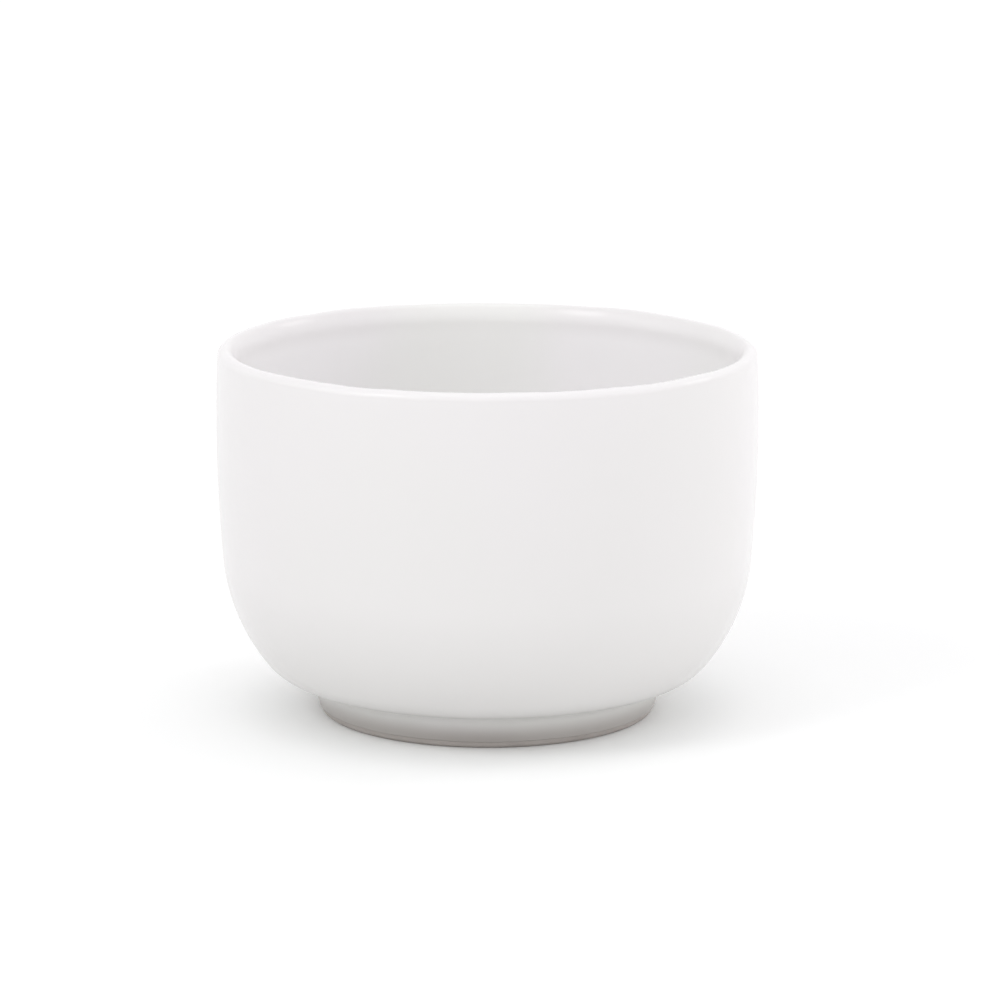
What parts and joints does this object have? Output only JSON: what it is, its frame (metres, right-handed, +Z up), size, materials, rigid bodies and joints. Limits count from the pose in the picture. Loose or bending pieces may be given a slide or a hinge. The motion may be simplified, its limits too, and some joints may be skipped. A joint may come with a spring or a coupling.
{
  "type": "latte bowl",
  "caption": "Handleless round porcelain bowl with rounded shoulder, near-upright wall, eased lip and plain foot ring, for drinking milky coffee.",
  "frame": {"origin": "on the table, on the bowl's own axis, in the plane of the foot ring's bearing face", "axes": "+Z up along the bowl's axis of revolution; +X and +Y are any two level directions, because the bowl is round"},
  "size_m": [0.117, 0.117, 0.08],
  "materials": {
    "porcelain": "matte",
    "glaze": "semi-gloss"
  },
  "bodies": {
    "root": {"bowl_body": "porcelain", "foot_ring": "porcelain", "inside_glaze": "glaze", "outside_glaze": "glaze", "recess_glaze": "glaze"}
  },
  "joints": []
}
